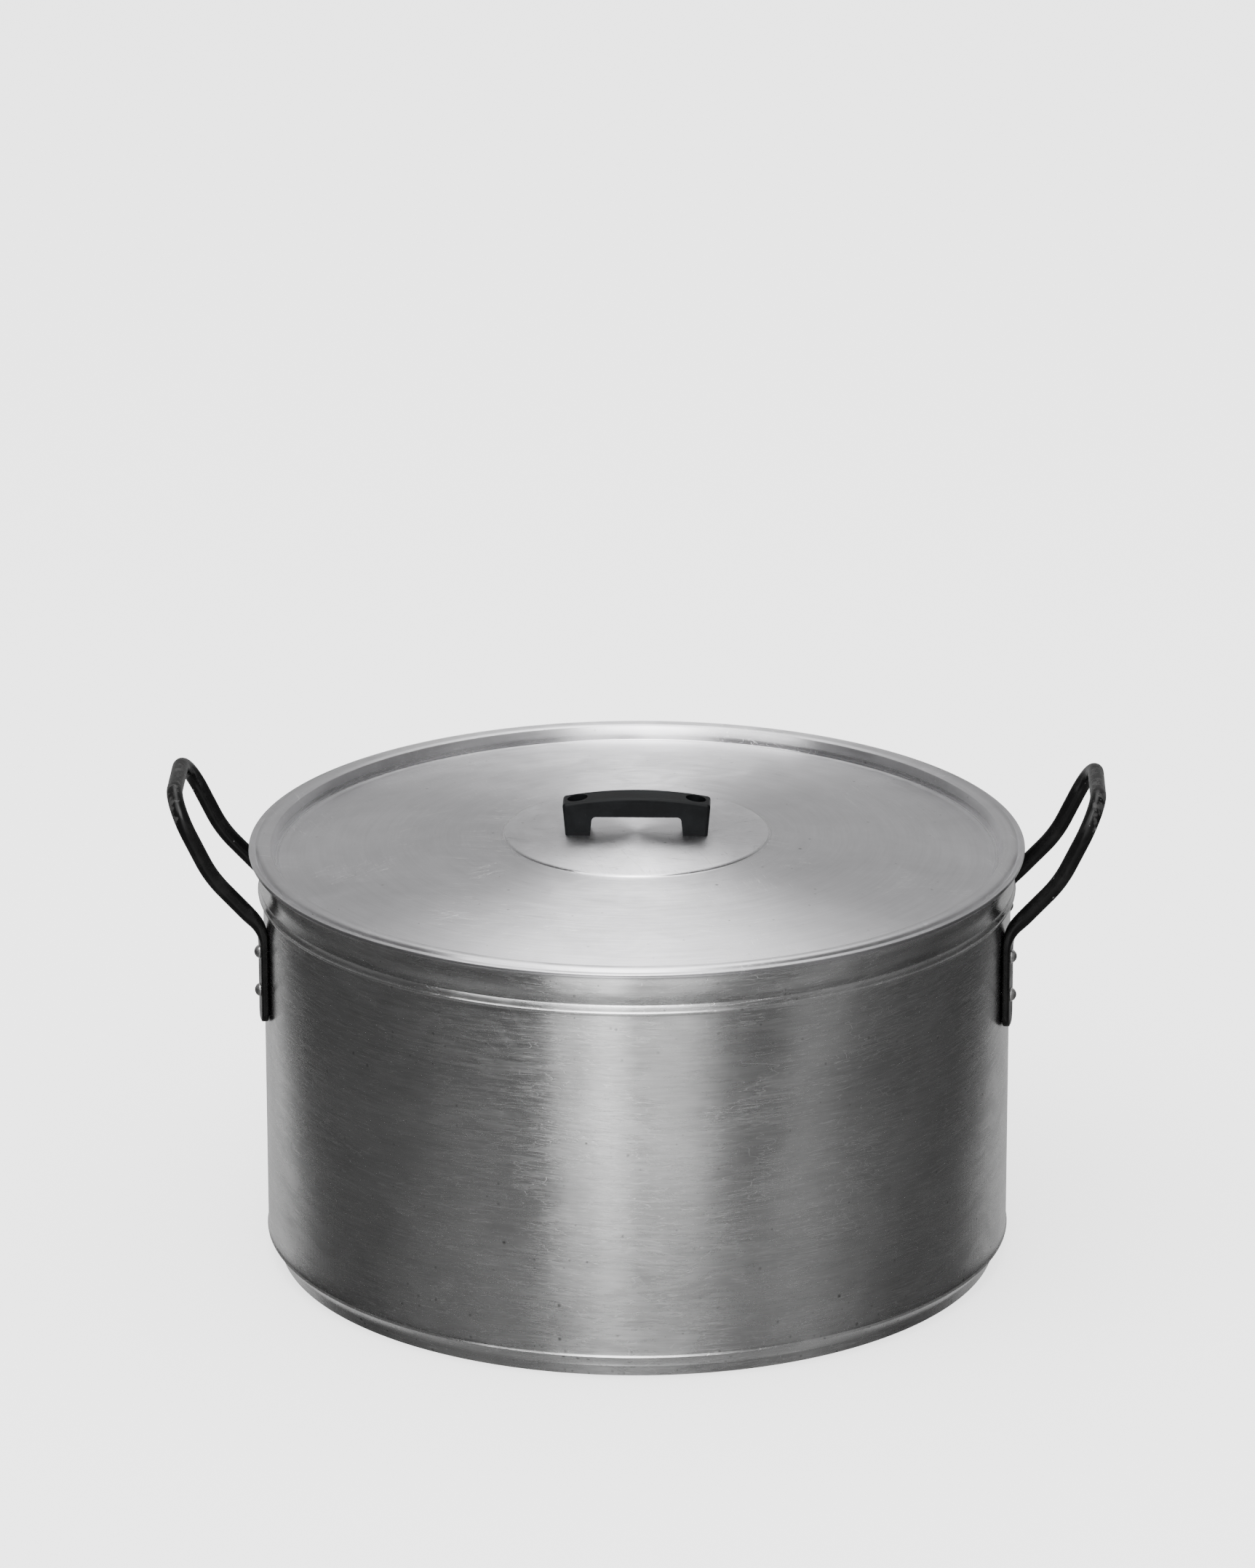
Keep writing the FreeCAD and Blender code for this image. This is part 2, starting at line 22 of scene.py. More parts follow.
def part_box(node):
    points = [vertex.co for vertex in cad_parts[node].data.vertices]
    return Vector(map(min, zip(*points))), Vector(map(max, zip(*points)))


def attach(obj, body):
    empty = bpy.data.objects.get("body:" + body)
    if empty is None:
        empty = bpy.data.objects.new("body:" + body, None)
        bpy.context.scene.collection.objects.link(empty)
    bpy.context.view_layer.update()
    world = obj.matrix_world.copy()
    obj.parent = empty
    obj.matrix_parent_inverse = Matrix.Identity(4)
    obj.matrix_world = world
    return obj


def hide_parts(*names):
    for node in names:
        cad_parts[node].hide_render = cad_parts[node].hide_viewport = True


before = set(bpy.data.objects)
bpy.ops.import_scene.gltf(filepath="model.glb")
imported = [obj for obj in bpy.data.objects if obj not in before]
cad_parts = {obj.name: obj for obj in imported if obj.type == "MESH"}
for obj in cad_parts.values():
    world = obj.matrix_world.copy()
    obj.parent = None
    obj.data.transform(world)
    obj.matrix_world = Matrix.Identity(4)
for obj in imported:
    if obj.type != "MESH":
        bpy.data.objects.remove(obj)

LOG = logging.getLogger("boiling_pot")
MM = 0.001
# the average of a noise value
MIDDLE = 0.5
# a quarter turn, so that highlights stretch across the brushed marks
BRUSHED_TURN = 0.25
# heights between which the dark pits thicken towards the base; there they are partly real pitting and partly
# painted shade on the base corner
PIT_AND_SHADE_BAND = (0.04, 0.012)
# from a polished ring's centre to its edge, and to where it shines fully
RING_EDGES = (0.0016, 0.0007)
# where raised edges start to wear, and where a coat is rubbed through
RAISED, RUBBED = (0.505, 0.56), (0.78, 0.9)
# exponents of the bar's section, flattened and round
FLAT_POWER, ROUND_POWER = 5.0, 2.0


class Body(Enum):
    """The rigid bodies that pieces ride on."""

    POT = "pot"
    LID = "lid"


class Slot(Enum):
    """Names of the record's material slots; nothing in this script uses them."""

    WALL = "spun_aluminium"
    LID = "lid_aluminium"
    BAR = "black_bar"


class Lay(Enum):
    """Which way turning marks stack on a round piece: up a wall or out over a disc."""

    WALL = 0.0
    DISC = 1.0


# ---------------------------------------------------------------- shader graphs


class Graph:
    """Short calls for building one node tree."""

    def __init__(self, tree: NodeTree) -> None:
        """Take an empty tree to build in."""
        self.tree = tree
        self.column = 0

    def node(self, kind: str, inputs: Optional[dict] = None, **settings: object) -> Node:
        """Add a node.

        Args:
            kind: the node's type name.
            inputs: values or sockets for its inputs, by name or index.
            settings: values for the node's own properties.

        Returns:
            The new node.
        """
        made = self.tree.nodes.new(kind)
        self.column += 1
        made.location = (self.column * 180, -(self.column % 5) * 160)
        for key, value in settings.items():
            setattr(made, key, value)
        for key, value in (inputs or {}).items():
            self.feed(made.inputs[key], value)
        return made

    def feed(self, socket: Socket, value: object) -> None:
        """Link a socket into an input, or set the input to a plain value.

        Args:
            socket: the input to fill.
            value: an output socket, a number, a colour or a vector.
        """
        if isinstance(value, Socket):
            self.tree.links.new(value, socket)
        else:
            socket.default_value = value

    def math(self, operation: str, first: object, second: object = 0.0,
             clamp: bool = False) -> Socket:
        """Add a Math node and return its value."""
        made = self.node("ShaderNodeMath", {0: first, 1: second}, operation=operation, use_clamp=clamp)
        return made.outputs[0]

    def vector(self, operation: str, first: object, second: object = (0, 0, 0)) -> Socket:
        """Add a Vector Math node and return its vector."""
        made = self.node("ShaderNodeVectorMath", {0: first, 1: second}, operation=operation)
        return made.outputs[0]

    def scale(self, vector: object, factor: object) -> Socket:
        """Multiply a vector by a number and return it."""
        made = self.node("ShaderNodeVectorMath", {0: vector, "Scale": factor}, operation="SCALE")
        return made.outputs[0]

    def length(self, vector: object) -> Socket:
        """Measure a vector and return its length."""
        made = self.node("ShaderNodeVectorMath", {0: vector}, operation="LENGTH")
        return made.outputs["Value"]

    def product(self, first: object, second: object) -> Socket:
        """Multiply two numbers and return the result."""
        return self.math("MULTIPLY", first, second)

    def total(self, *values: object) -> Socket:
        """Add numbers in order and return the sum."""
        return functools.reduce(lambda so_far, value: self.math("ADD", so_far, value), values)

    def less(self, first: object, second: object) -> Socket:
        """Subtract the second number from the first and return the result."""
        return self.math("SUBTRACT", first, second)

    def remap(self, value: object, low: float, high: float,
              out_low: float = 0.0, out_high: float = 1.0) -> Socket:
        """Smoothly map a value's range to another and return it."""
        made = self.node("ShaderNodeMapRange", {
            "Value": value, "From Min": low, "From Max": high, "To Min": out_low, "To Max": out_high,
        }, interpolation_type="SMOOTHSTEP")
        return made.outputs["Result"]

    def mix(self, share: object, first: object, second: object) -> Socket:
        """Mix two colours and return the result."""
        made = self.node("ShaderNodeMix", {0: share, 6: first, 7: second}, data_type="RGBA")
        return made.outputs[2]

    def blend(self, share: object, first: object, second: object) -> Socket:
        """Mix two numbers and return the result."""
        made = self.node("ShaderNodeMix", {0: share, 2: first, 3: second}, data_type="FLOAT")
        return made.outputs[0]

    def noise(self, vector: object, scale: object, detail: float = 2.0,
              rough: float = 0.5) -> Socket:
        """Add a Noise texture and return its value."""
        made = self.node("ShaderNodeTexNoise", {
            "Vector": vector, "Scale": scale, "Detail": detail, "Roughness": rough})
        return made.outputs[0]

    def effect(self, group: NodeTree, inputs: dict) -> Node:
        """Place a shared effect group in this tree.

        Args:
            group: the effect's node group.
            inputs: values or sockets for its inputs, by name.

        Returns:
            The group node.
        """
        made = self.node("ShaderNodeGroup", node_tree=group)
        for key, value in inputs.items():
            self.feed(made.inputs[key], value)
        return made


def new_effect(name: str, inputs: Sequence[tuple[str, str, object]],
               outputs: Sequence[str]) -> tuple[Graph, dict[str, Socket], dict[str, Socket]]:
    """Start an effect group with named sockets.

    Args:
        name: the group's name.
        inputs: name, socket kind (Float or Vector) and default of each input.
        outputs: names of the value outputs.

    Returns:
        The group's graph, its inputs and its outputs, both by name.
    """
    tree = bpy.data.node_groups.new(name, "ShaderNodeTree")
    for label, kind, default in inputs:
        socket = tree.interface.new_socket(label, in_out="INPUT", socket_type="NodeSocket" + kind)
        if default is not None:
            socket.default_value = default
    for label in outputs:
        tree.interface.new_socket(label, in_out="OUTPUT", socket_type="NodeSocketFloat")
    graph = Graph(tree)
    given, result = graph.node("NodeGroupInput").outputs, graph.node("NodeGroupOutput").inputs
    return graph, {label: given[label] for label, _, _ in inputs}, {label: result[label] for label in outputs}


class Effects:
    """The effects that several finishes share, each a node group built once."""

    def __init__(self) -> None:
        """Build every group."""
        self.turning = self._turning()
        self.scratches = self._scratches()
        self.smudges = self._smudges()
        self.pits = self._pits()
        self.edge_wear = self._edge_wear()

    @staticmethod
    def _turning() -> NodeTree:
        """Make fine marks that run round the axis, left by spinning and brushing.

        Returns:
            The effect.
        """
        graph, given, result = new_effect("Turning marks", [
            ("Vector", "Vector", None), ("Lines", "Float", 1500.0), ("Bands", "Float", 60.0),
            ("Streak", "Float", 2.0), ("Disc", "Float", 0.0)], ["Lines", "Bands"])
        split = graph.node("ShaderNodeSeparateXYZ", {0: given["Vector"]})
        flat = graph.node("ShaderNodeCombineXYZ", {0: split.outputs[0], 1: split.outputs[1]}).outputs[0]
        radius = graph.length(flat)
        around = graph.vector("NORMALIZE", flat)
        across = graph.blend(given["Disc"], split.outputs[2], radius)
        for label in ("Lines", "Bands"):
            streak = graph.scale(around, given["Streak"])
            step = graph.product(across, given[label])
            lift = graph.node("ShaderNodeCombineXYZ", {2: step}).outputs[0]
            place = graph.vector("ADD", streak, lift)
            graph.feed(result[label], graph.noise(place, 1.0, 3.0, 0.6))
        return graph.tree

    @staticmethod
    def _scratches() -> NodeTree:
        """Make thin broken scratches along one direction.

        Returns:
            The effect.
        """
        graph, given, result = new_effect("Scratches", [
            ("Vector", "Vector", None), ("Scale", "Float", 20.0), ("Stretch", "Float", 14.0),
            ("Turn", "Float", 0.0), ("Width", "Float", 0.01), ("Cover", "Float", 0.5)], ["Mask"])
        turned = graph.node("ShaderNodeVectorRotate", {
            "Vector": given["Vector"], "Axis": (0.0, 0.0, 1.0),
            "Angle": given["Turn"]}).outputs[0]
        split = graph.node("ShaderNodeSeparateXYZ", {0: turned})
        wide = graph.product(split.outputs[1], given["Stretch"])
        tall = graph.product(split.outputs[2], given["Stretch"])
        place = graph.node("ShaderNodeCombineXYZ", {0: split.outputs[0], 1: wide, 2: tall}).outputs[0]
        waves = graph.noise(place, given["Scale"], 1.5, 0.55)
        ridge = graph.math("ABSOLUTE", graph.less(waves, MIDDLE))
        line = graph.math("SUBTRACT", 1.0, graph.math("DIVIDE", ridge, given["Width"]), clamp=True)
        patch = graph.noise(turned, graph.product(given["Scale"], 0.8), 2.0)
        limit = graph.less(1.0, given["Cover"])
        shown = graph.math("MULTIPLY", graph.less(patch, limit), 12.0, clamp=True)
        graph.feed(result["Mask"], graph.product(line, shown))
        return graph.tree

    @staticmethod
    def _smudges() -> NodeTree:
        """Make soft cloudy marks from handling and washing.

        Returns:
            The effect.
        """
        graph, given, result = new_effect("Smudges", [
            ("Vector", "Vector", None), ("Scale", "Float", 8.0), ("Warp", "Float", 0.4)], ["Cloud", "Wipe"])
        bend = graph.node("ShaderNodeTexNoise", {
            "Vector": given["Vector"], "Scale": given["Scale"], "Detail": 1.0})
        warp = graph.scale(bend.outputs["Color"], graph.product(given["Warp"], 0.1))
        place = graph.vector("ADD", given["Vector"], warp)
        graph.feed(result["Cloud"], graph.noise(place, given["Scale"], 4.0, 0.6))
        wiped = graph.vector("MULTIPLY", place, (1.0, 1.0, 5.0))
        graph.feed(result["Wipe"], graph.noise(wiped, given["Scale"], 5.0, 0.7))
        return graph.tree

    @staticmethod
    def _pits() -> NodeTree:
        """Make scattered small pits and specks of uneven size.

        Returns:
            The effect.
        """
        graph, given, result = new_effect("Pits", [
            ("Vector", "Vector", None), ("Scale", "Float", 60.0), ("Size", "Float", 0.12),
            ("Share", "Float", 0.3)], ["Mask"])
        cells = graph.node("ShaderNodeTexVoronoi", {
            "Vector": given["Vector"], "Scale": given["Scale"]})
        pick = graph.node("ShaderNodeSeparateColor", {0: cells.outputs["Color"]})
        reach = graph.product(given["Size"], pick.outputs[1])
        dot = graph.math("SUBTRACT", 1.0, graph.math("DIVIDE", cells.outputs["Distance"], reach), clamp=True)
        there = graph.math("LESS_THAN", pick.outputs[0], given["Share"])
        graph.feed(result["Mask"], graph.product(dot, there))
        return graph.tree

    @staticmethod
    def _edge_wear() -> NodeTree:
        """Find where a coat is rubbed through: raised edges and patchy worn stretches.

        Returns:
            The effect.
        """
        graph, given, result = new_effect("Edge wear", [
            ("Vector", "Vector", None), ("Edge", "Float", 0.5), ("Reach", "Float", 0.0),
            ("Scale", "Float", 90.0), ("Amount", "Float", 0.5)], ["Mask", "Grain"])
        coarse = graph.noise(given["Vector"], given["Scale"], 6.0, 0.65)
        raised = graph.remap(given["Edge"], *RAISED)
        drive = graph.total(graph.product(raised, 0.5), given["Reach"])
        level = graph.total(graph.product(drive, given["Amount"]), coarse)
        graph.feed(result["Mask"], graph.remap(level, *RUBBED))
        graph.feed(result["Grain"], coarse)
        return graph.tree


# ---------------------------------------------------------------- finishes


def start_material(name: str) -> tuple[Graph, Node, Socket]:
    """Make an empty material.

    Args:
        name: the material's name.

    Returns:
        Its graph, its Principled BSDF and the object-space position.
    """
    made = bpy.data.materials.new(name)
    made.use_nodes = True
    made.node_tree.nodes.clear()
    graph = Graph(made.node_tree)
    shader = graph.node("ShaderNodeBsdfPrincipled")
    output = graph.node("ShaderNodeOutputMaterial")
    graph.feed(output.inputs["Surface"], shader.outputs["BSDF"])
    place = graph.node("ShaderNodeTexCoord").outputs["Object"]
    return graph, shader, place


def bump(graph: Graph, height: object, strength: float, distance: float,
         normal: Optional[Socket] = None) -> Socket:
    """Turn a height into a normal.

    Args:
        graph: the material's graph.
        height: the height at each point.
        strength: how much of the slope shows.
        distance: metres that a height of 1 stands for.
        normal: another normal to build on, if any.

    Returns:
        The new normal.
    """
    inputs = {"Height": height, "Strength": strength, "Distance": distance}
    if normal is not None:
        inputs["Normal"] = normal
    return graph.node("ShaderNodeBump", inputs).outputs["Normal"]


def rgb(value: float, warm: float = 0.0) -> tuple[float, float, float, float]:
    """A grey with a slight warm or cool cast."""
    return (value * (1 + warm), value, value * (1 - warm), 1.0)


@dataclass(frozen=True)
class SpunAluminium:
    """Bare aluminium with turning marks, scratches, smudges, scuffs and pits; the dark pits that thicken near
    the base also paint shade on the base corner.

    Lines and bands are turning marks per metre, depths are changes of tone, shares run from
    0 to 1, and polished holds the radius of each ring that is rubbed bright.
    """

    name: str
    lay: Lay
    tone: float = 0.86
    rough: float = 0.25
    anisotropy: float = 0.98
    lines: float = 460.0
    bands: float = 130.0
    streak: float = 9.0
    line_depth: float = 0.2
    cloud_depth: float = 0.24
    scratch_cover: float = 0.54
    scratch_light: float = 0.5
    pit_share: float = 0.09
    base_pits_and_shade: float = 0.42
    cool: float = 0.0
    polished: tuple[float, ...] = ()
    rubbed_rough: float = 0.2

    def build(self, effects: Effects) -> Material:
        """Build the material.

        Args:
            effects: the shared effects.

        Returns:
            The material.
        """
        graph, shader, place = start_material(self.name)
        turning = graph.effect(effects.turning, {
            "Vector": place, "Lines": self.lines, "Bands": self.bands, "Streak": self.streak,
            "Disc": self.lay.value})
        smudge = graph.effect(effects.smudges, {"Vector": place, "Scale": 17.0, "Warp": 0.6})
        marks = self.scratches(graph, effects, place)
        pits_and_shade = self.pits(graph, effects, place)
        line = graph.less(turning.outputs["Lines"], MIDDLE)
        band = graph.less(turning.outputs["Bands"], MIDDLE)
        cloud = graph.less(smudge.outputs["Cloud"], MIDDLE)
        level = graph.total(
            1.0, graph.product(line, self.line_depth * 2), graph.product(band, self.line_depth),
            graph.product(cloud, self.cloud_depth * 2), graph.product(marks, self.scratch_light))
        bare = self.tone * 0.95
        clean = (bare, bare * (1 - self.cool * 0.4), bare * (1 + self.cool))
        # dark pits darken the colour; near the base they are dense enough to be painted shade on the base
        # corner as well as pitting
        pitted_and_shaded = graph.mix(graph.product(pits_and_shade, 0.9), graph.scale(clean, level), rgb(0.1, 0.03))
        graph.feed(shader.inputs["Base Color"], pitted_and_shaded)

        wiped = graph.remap(smudge.outputs["Wipe"], 0.35, 0.7, self.rough, self.rough + 0.06)
        rough = graph.total(wiped, graph.product(line, 0.12))
        radius = graph.length(graph.vector("MULTIPLY", place, (1.0, 1.0, 0.0)))
        for ring in self.polished:
            apart = graph.math("ABSOLUTE", graph.less(radius, ring))
            rough = graph.blend(graph.remap(apart, *RING_EDGES), rough, self.rubbed_rough)
        graph.feed(shader.inputs["Roughness"], rough)

        normal = bump(graph, turning.outputs["Lines"], 0.35, 0.0002)
        normal = bump(graph, turning.outputs["Bands"], 0.3, 0.0005, normal)
        hollows = graph.product(graph.total(marks, pits_and_shade), -1.0)
        graph.feed(shader.inputs["Normal"], bump(graph, hollows, 0.25, 0.00015, normal))
        tangent = graph.node("ShaderNodeTangent", direction_type="RADIAL", axis="Z")
        graph.feed(shader.inputs["Tangent"], tangent.outputs[0])
        shader.inputs["Metallic"].default_value = 1.0
        shader.inputs["Anisotropic"].default_value = self.anisotropy
        shader.inputs["Anisotropic Rotation"].default_value = BRUSHED_TURN
        return bpy.data.materials[self.name]

    def pits(self, graph: Graph, effects: Effects, place: Socket) -> Socket:
        """Scatter large and small dark pits, thicker towards the base, where they are partly real pitting and
        partly painted shade on the base corner.

        Args:
            graph: the material's graph.
            effects: the shared effects.
            place: the object-space position.

        Returns:
            The mask of the pits.
        """
        height = graph.node("ShaderNodeSeparateXYZ", {0: place}).outputs[2]
        # the share of pits rises towards the base, painting shade on the base corner as well as pitting
        share = graph.blend(graph.remap(height, *PIT_AND_SHADE_BAND), self.pit_share, self.base_pits_and_shade)
        large, small = (graph.effect(effects.pits, {
            "Vector": place, "Scale": scale, "Size": size, "Share": share}).outputs["Mask"]
            for scale, size in ((110.0, 0.2), (260.0, 0.4)))
        return graph.math("MAXIMUM", large, graph.product(small, 0.6))

    def scratches(self, graph: Graph, effects: Effects,
                  place: Socket) -> Socket:
        """Lay the scratches of this piece.

        Args:
            graph: the material's graph.
            effects: the shared effects.
            place: the object-space position.

        Returns:
            The mask of the scratches.
        """
        if self.lay is Lay.WALL:
            drift = graph.noise(place, 5.0, 1.0)
            slope = graph.node("ShaderNodeCombineXYZ", {2: graph.product(drift, 0.035)}).outputs[0]
            moved = graph.vector("ADD", place, slope)
            along = graph.vector("MULTIPLY", moved, (1.0, 1 / 14, 1.0))
            settings = ((along, 22.0, 14.0, 0.0, 0.014), (along, 41.0, 14.0, 0.0, 0.02),
                        (graph.vector("MULTIPLY", place, (1.0, 0.4, 1.0)), 30.0, 5.0, 0.0, 0.006))
        else:
            settings = ((place, 9.0, 26.0, 0.25, 0.006), (place, 12.0, 20.0, 1.25, 0.005),
                        (place, 21.0, 12.0, -0.5, 0.006))
        marks = None
        for vector, scale, stretch, turn, width in settings:
            mask = graph.effect(effects.scratches, {
                "Vector": vector, "Scale": scale, "Stretch": stretch, "Turn": turn, "Width": width,
                "Cover": self.scratch_cover}).outputs["Mask"]
            marks = mask if marks is None else graph.math("MAXIMUM", marks, mask)
        return marks


@dataclass(frozen=True)
class BarPaint:
    """Gloss black paint on steel bar, rubbed grey on the grip."""

    name: str = "Black bar paint"
    worn_height: tuple[float, float] = (0.294, 0.312)
    worn_reach: tuple[float, float] = (0.298, 0.304)
    tone: float = 0.004

    def build(self, effects: Effects) -> Material:
        """Build the material.

        Args:
            effects: the shared effects.

        Returns:
            The material.
        """
        graph, shader, place = start_material(self.name)
        edge = graph.node("ShaderNodeNewGeometry").outputs["Pointiness"]
        split = graph.node("ShaderNodeSeparateXYZ", {0: place})
        outward = graph.math("ABSOLUTE", split.outputs[0])
        rise = graph.remap(split.outputs[2], *self.worn_height)
        reach = graph.product(rise, graph.remap(outward, *self.worn_reach))
        wear = graph.effect(effects.edge_wear, {
            "Vector": place, "Edge": edge, "Reach": reach, "Scale": 150.0, "Amount": 0.3})
        smudge = graph.effect(effects.smudges, {"Vector": place, "Scale": 60.0, "Warp": 0.2})
        chips = graph.effect(effects.pits, {"Vector": place, "Scale": 260.0, "Size": 0.3, "Share": 0.06})
        paint = graph.mix(graph.remap(smudge.outputs["Cloud"], 0.45, 0.75),
                          rgb(self.tone), rgb(self.tone * 2.2, 0.02))
        worn = graph.mix(wear.outputs["Grain"], rgb(0.025, 0.01), rgb(0.08, 0.01))
        colour = graph.mix(graph.product(wear.outputs["Mask"], 0.65), paint, worn)
        colour = graph.mix(graph.product(chips.outputs["Mask"], 0.5), colour, rgb(0.3))
        graph.feed(shader.inputs["Base Color"], colour)
        graph.feed(shader.inputs["Metallic"], graph.product(wear.outputs["Mask"], 0.25))
        graph.feed(shader.inputs["Roughness"], graph.total(
            graph.remap(smudge.outputs["Cloud"], 0.3, 0.75, 0.2, 0.34),
            graph.product(wear.outputs["Mask"], 0.16)))
        relief = graph.less(graph.product(wear.outputs["Grain"], 0.5),
                            graph.product(wear.outputs["Mask"], 0.6))
        graph.feed(shader.inputs["Normal"], bump(graph, relief, 0.5, 0.0003))
        shader.inputs["Specular IOR Level"].default_value = 0.18
        return bpy.data.materials[self.name]


@dataclass(frozen=True)
class MouldedPlastic:
    """Satin black moulded plastic with a fine grain and rubbed edges."""

    name: str = "Black moulded plastic"
    tone: float = 0.004

    def build(self, effects: Effects) -> Material:
        """Build the material.

        Args:
            effects: the shared effects.

        Returns:
            The material.
        """
        graph, shader, place = start_material(self.name)
        edge = graph.node("ShaderNodeNewGeometry").outputs["Pointiness"]
        wear = graph.effect(effects.edge_wear, {
            "Vector": place, "Edge": edge, "Reach": 0.0, "Scale": 240.0, "Amount": 0.3})
        smudge = graph.effect(effects.smudges, {"Vector": place, "Scale": 46.0, "Warp": 0.2})
        scratch = graph.effect(effects.scratches, {
            "Vector": place, "Scale": 60.0, "Stretch": 8.0, "Turn": 0.5, "Width": 0.008, "Cover": 0.42})
        specks = graph.effect(effects.pits, {"Vector": place, "Scale": 190.0, "Size": 0.07, "Share": 0.03})
        dull = graph.mix(graph.remap(smudge.outputs["Cloud"], 0.4, 0.7),
                         rgb(self.tone, -0.1), rgb(self.tone * 2.2, -0.1))
        rubbed = graph.math("MAXIMUM", graph.product(wear.outputs["Mask"], 0.6),
                            graph.product(scratch.outputs["Mask"], 0.3))
        colour = graph.mix(rubbed, dull, rgb(0.045))
        colour = graph.mix(graph.product(specks.outputs["Mask"], 0.5), colour, rgb(0.3))
        graph.feed(shader.inputs["Base Color"], colour)
        graph.feed(shader.inputs["Roughness"], graph.remap(smudge.outputs["Cloud"], 0.3, 0.75, 0.36, 0.5))
        graph.feed(shader.inputs["Normal"], bump(graph, graph.noise(place, 1900.0), 0.25, 0.00008))
        shader.inputs["Specular IOR Level"].default_value = 0.1
        return bpy.data.materials[self.name]


@dataclass(frozen=True)
class FastenerMetal:
    """Bright metal of rivets, screws, washers and nuts, dulled in its hollows."""

    name: str
    tone: float = 0.72
    rough: float = 0.26

    def build(self, effects: Effects) -> Material:
        """Build the material.

        Args:
            effects: the shared effects.

        Returns:
            The material.
        """
        graph, shader, place = start_material(self.name)
        smudge = graph.effect(effects.smudges, {"Vector": place, "Scale": 120.0, "Warp": 0.1})
        scratch = graph.effect(effects.scratches, {
            "Vector": place, "Scale": 160.0, "Stretch": 5.0, "Turn": 0.7, "Width": 0.02, "Cover": 0.5})
        pits = graph.effect(effects.pits, {"Vector": place, "Scale": 520.0, "Size": 0.3, "Share": 0.2})
        cloud = graph.remap(smudge.outputs["Cloud"], 0.35, 0.7)
        colour = graph.mix(cloud, rgb(self.tone), rgb(self.tone * 0.72, 0.015))
        colour = graph.mix(pits.outputs["Mask"], colour, rgb(0.2, 0.03))
        graph.feed(shader.inputs["Base Color"], colour)
        graph.feed(shader.inputs["Roughness"], graph.blend(cloud, self.rough, self.rough + 0.16))
        relief = graph.less(graph.product(cloud, 0.4), scratch.outputs["Mask"])
        graph.feed(shader.inputs["Normal"], bump(graph, relief, 0.3, 0.0001))
        shader.inputs["Metallic"].default_value = 1.0
        return bpy.data.materials[self.name]


@dataclass(frozen=True)
class FloorPaper:
    """Plain pale studio floor, left out of reflections so that metal mirrors the room alone."""

    name: str = "Pale floor"
    tone: float = 0.86
    glow: float = 1.6

    def build(self) -> Material:
        """Build the material.

        Returns:
            The material.
        """
        graph, shader, place = start_material(self.name)
        cloud = graph.noise(place, 1.5, 3.0)
        graph.feed(shader.inputs["Base Color"], graph.mix(cloud, rgb(self.tone * 0.99), rgb(self.tone)))
        shader.inputs["Roughness"].default_value = 0.9
        shader.inputs["Specular IOR Level"].default_value = 0.1
        clear = graph.node("ShaderNodeBsdfTransparent").outputs[0]
        path = graph.node("ShaderNodeLightPath").outputs
        glow = graph.node("ShaderNodeEmission", {
            "Strength": graph.product(path["Is Camera Ray"], self.glow)}).outputs[0]
        lit = graph.node("ShaderNodeAddShader", {0: shader.outputs["BSDF"], 1: glow}).outputs[0]
        cover = graph.node("ShaderNodeMixShader", {0: path["Is Glossy Ray"], 1: lit, 2: clear})
        graph.feed(graph.tree.nodes["Material Output"].inputs["Surface"], cover.outputs[0])
        return bpy.data.materials[self.name]


# ---------------------------------------------------------------- mesh work


def make_object(name: str, build: Callable[[BMesh], None]) -> Object:
    """Make a smooth-shaded mesh object.

    Args:
        name: the object's name.
        build: fills an empty bmesh.

    Returns:
        The new object, linked to the scene.
    """
    work = bmesh.new()
    build(work)
    bmesh.ops.recalc_face_normals(work, faces=work.faces)
    mesh = bpy.data.meshes.new(name)
    work.to_mesh(mesh)
    work.free()
    mesh.shade_smooth()
    made = bpy.data.objects.new(name, mesh)
    bpy.context.scene.collection.objects.link(made)
    return made


def rounded(corners: Sequence[tuple[float, float, float]], steps: int = 7,
            guard: float = 0.4) -> list[tuple[float, float]]:
    """Round the corners of a closed outline.

    Args:
        corners: x, y and rounding radius of each corner.
        steps: edges in each rounding.
        guard: length of the short edge kept beside each rounding, so it shades cleanly.

    Returns:
        The outline's points, in the same units.
    """
    points: list[tuple[float, float]] = []
    for i, (x, y, radius) in enumerate(corners):
        here = Vector((x, y))
        before = Vector(corners[i - 1][:2]) - here
        after = Vector(corners[(i + 1) % len(corners)][:2]) - here
        if radius <= 0:
            points.append((x, y))
            continue
        back, onward = before.normalized(), after.normalized()
        half = back.angle(onward) / 2
        reach = min(radius / math.tan(half), before.length * 0.48, after.length * 0.48)
        radius = reach * math.tan(half)
        centre = here + (back + onward).normalized() * (radius / math.sin(half))
        start, end = here + back * reach - centre, here + onward * reach - centre
        if before.length * 0.5 > reach + guard:
            points.append(tuple(here + back * (reach + guard)))
        for step in range(steps + 1):
            points.append(tuple(centre + start.slerp(end, step / steps)))
        if after.length * 0.5 > reach + guard:
            points.append(tuple(here + onward * (reach + guard)))
    return points


